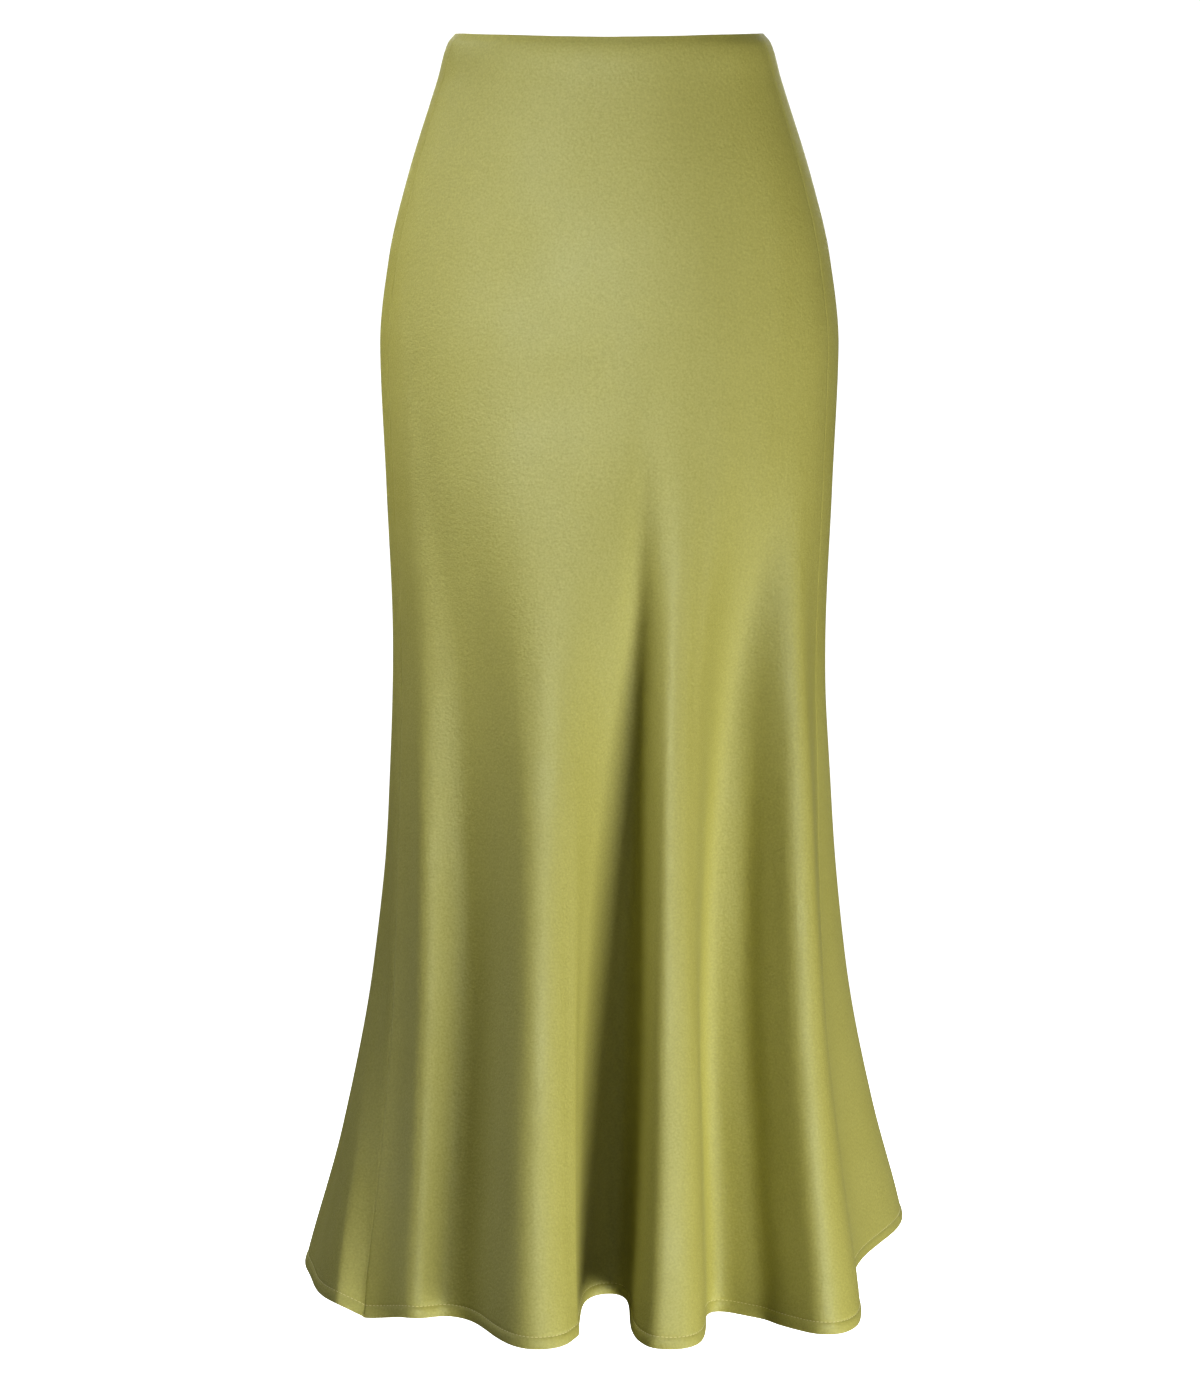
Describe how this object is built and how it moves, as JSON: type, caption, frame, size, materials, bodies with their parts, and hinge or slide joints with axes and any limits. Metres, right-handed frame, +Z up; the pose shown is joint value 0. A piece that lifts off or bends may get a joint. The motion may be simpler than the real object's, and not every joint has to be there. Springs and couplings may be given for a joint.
{
  "type": "mermaid fishtail skirt, worn form",
  "caption": "Long satin skirt, close from waist to knee and falling in deep soft folds to a flared, turned hem; hollow, open at waist and hem",
  "frame": {"origin": "middle of the waist opening, level with the waist edge", "axes": "+Z up along the skirt, front facing -Y, the wearer's left side towards +X"},
  "size_m": [0.4643, 0.4202, 0.9323],
  "materials": {
    "satin": "olive-gold satin, soft sheen, fine close weave",
    "satin_turning": "the same olive-gold satin, turned up inside the hem"
  },
  "bodies": {
    "root": {"front_panel": "satin", "back_panel": "satin", "hem_front": "satin_turning", "hem_back": "satin_turning"}
  },
  "joints": []
}
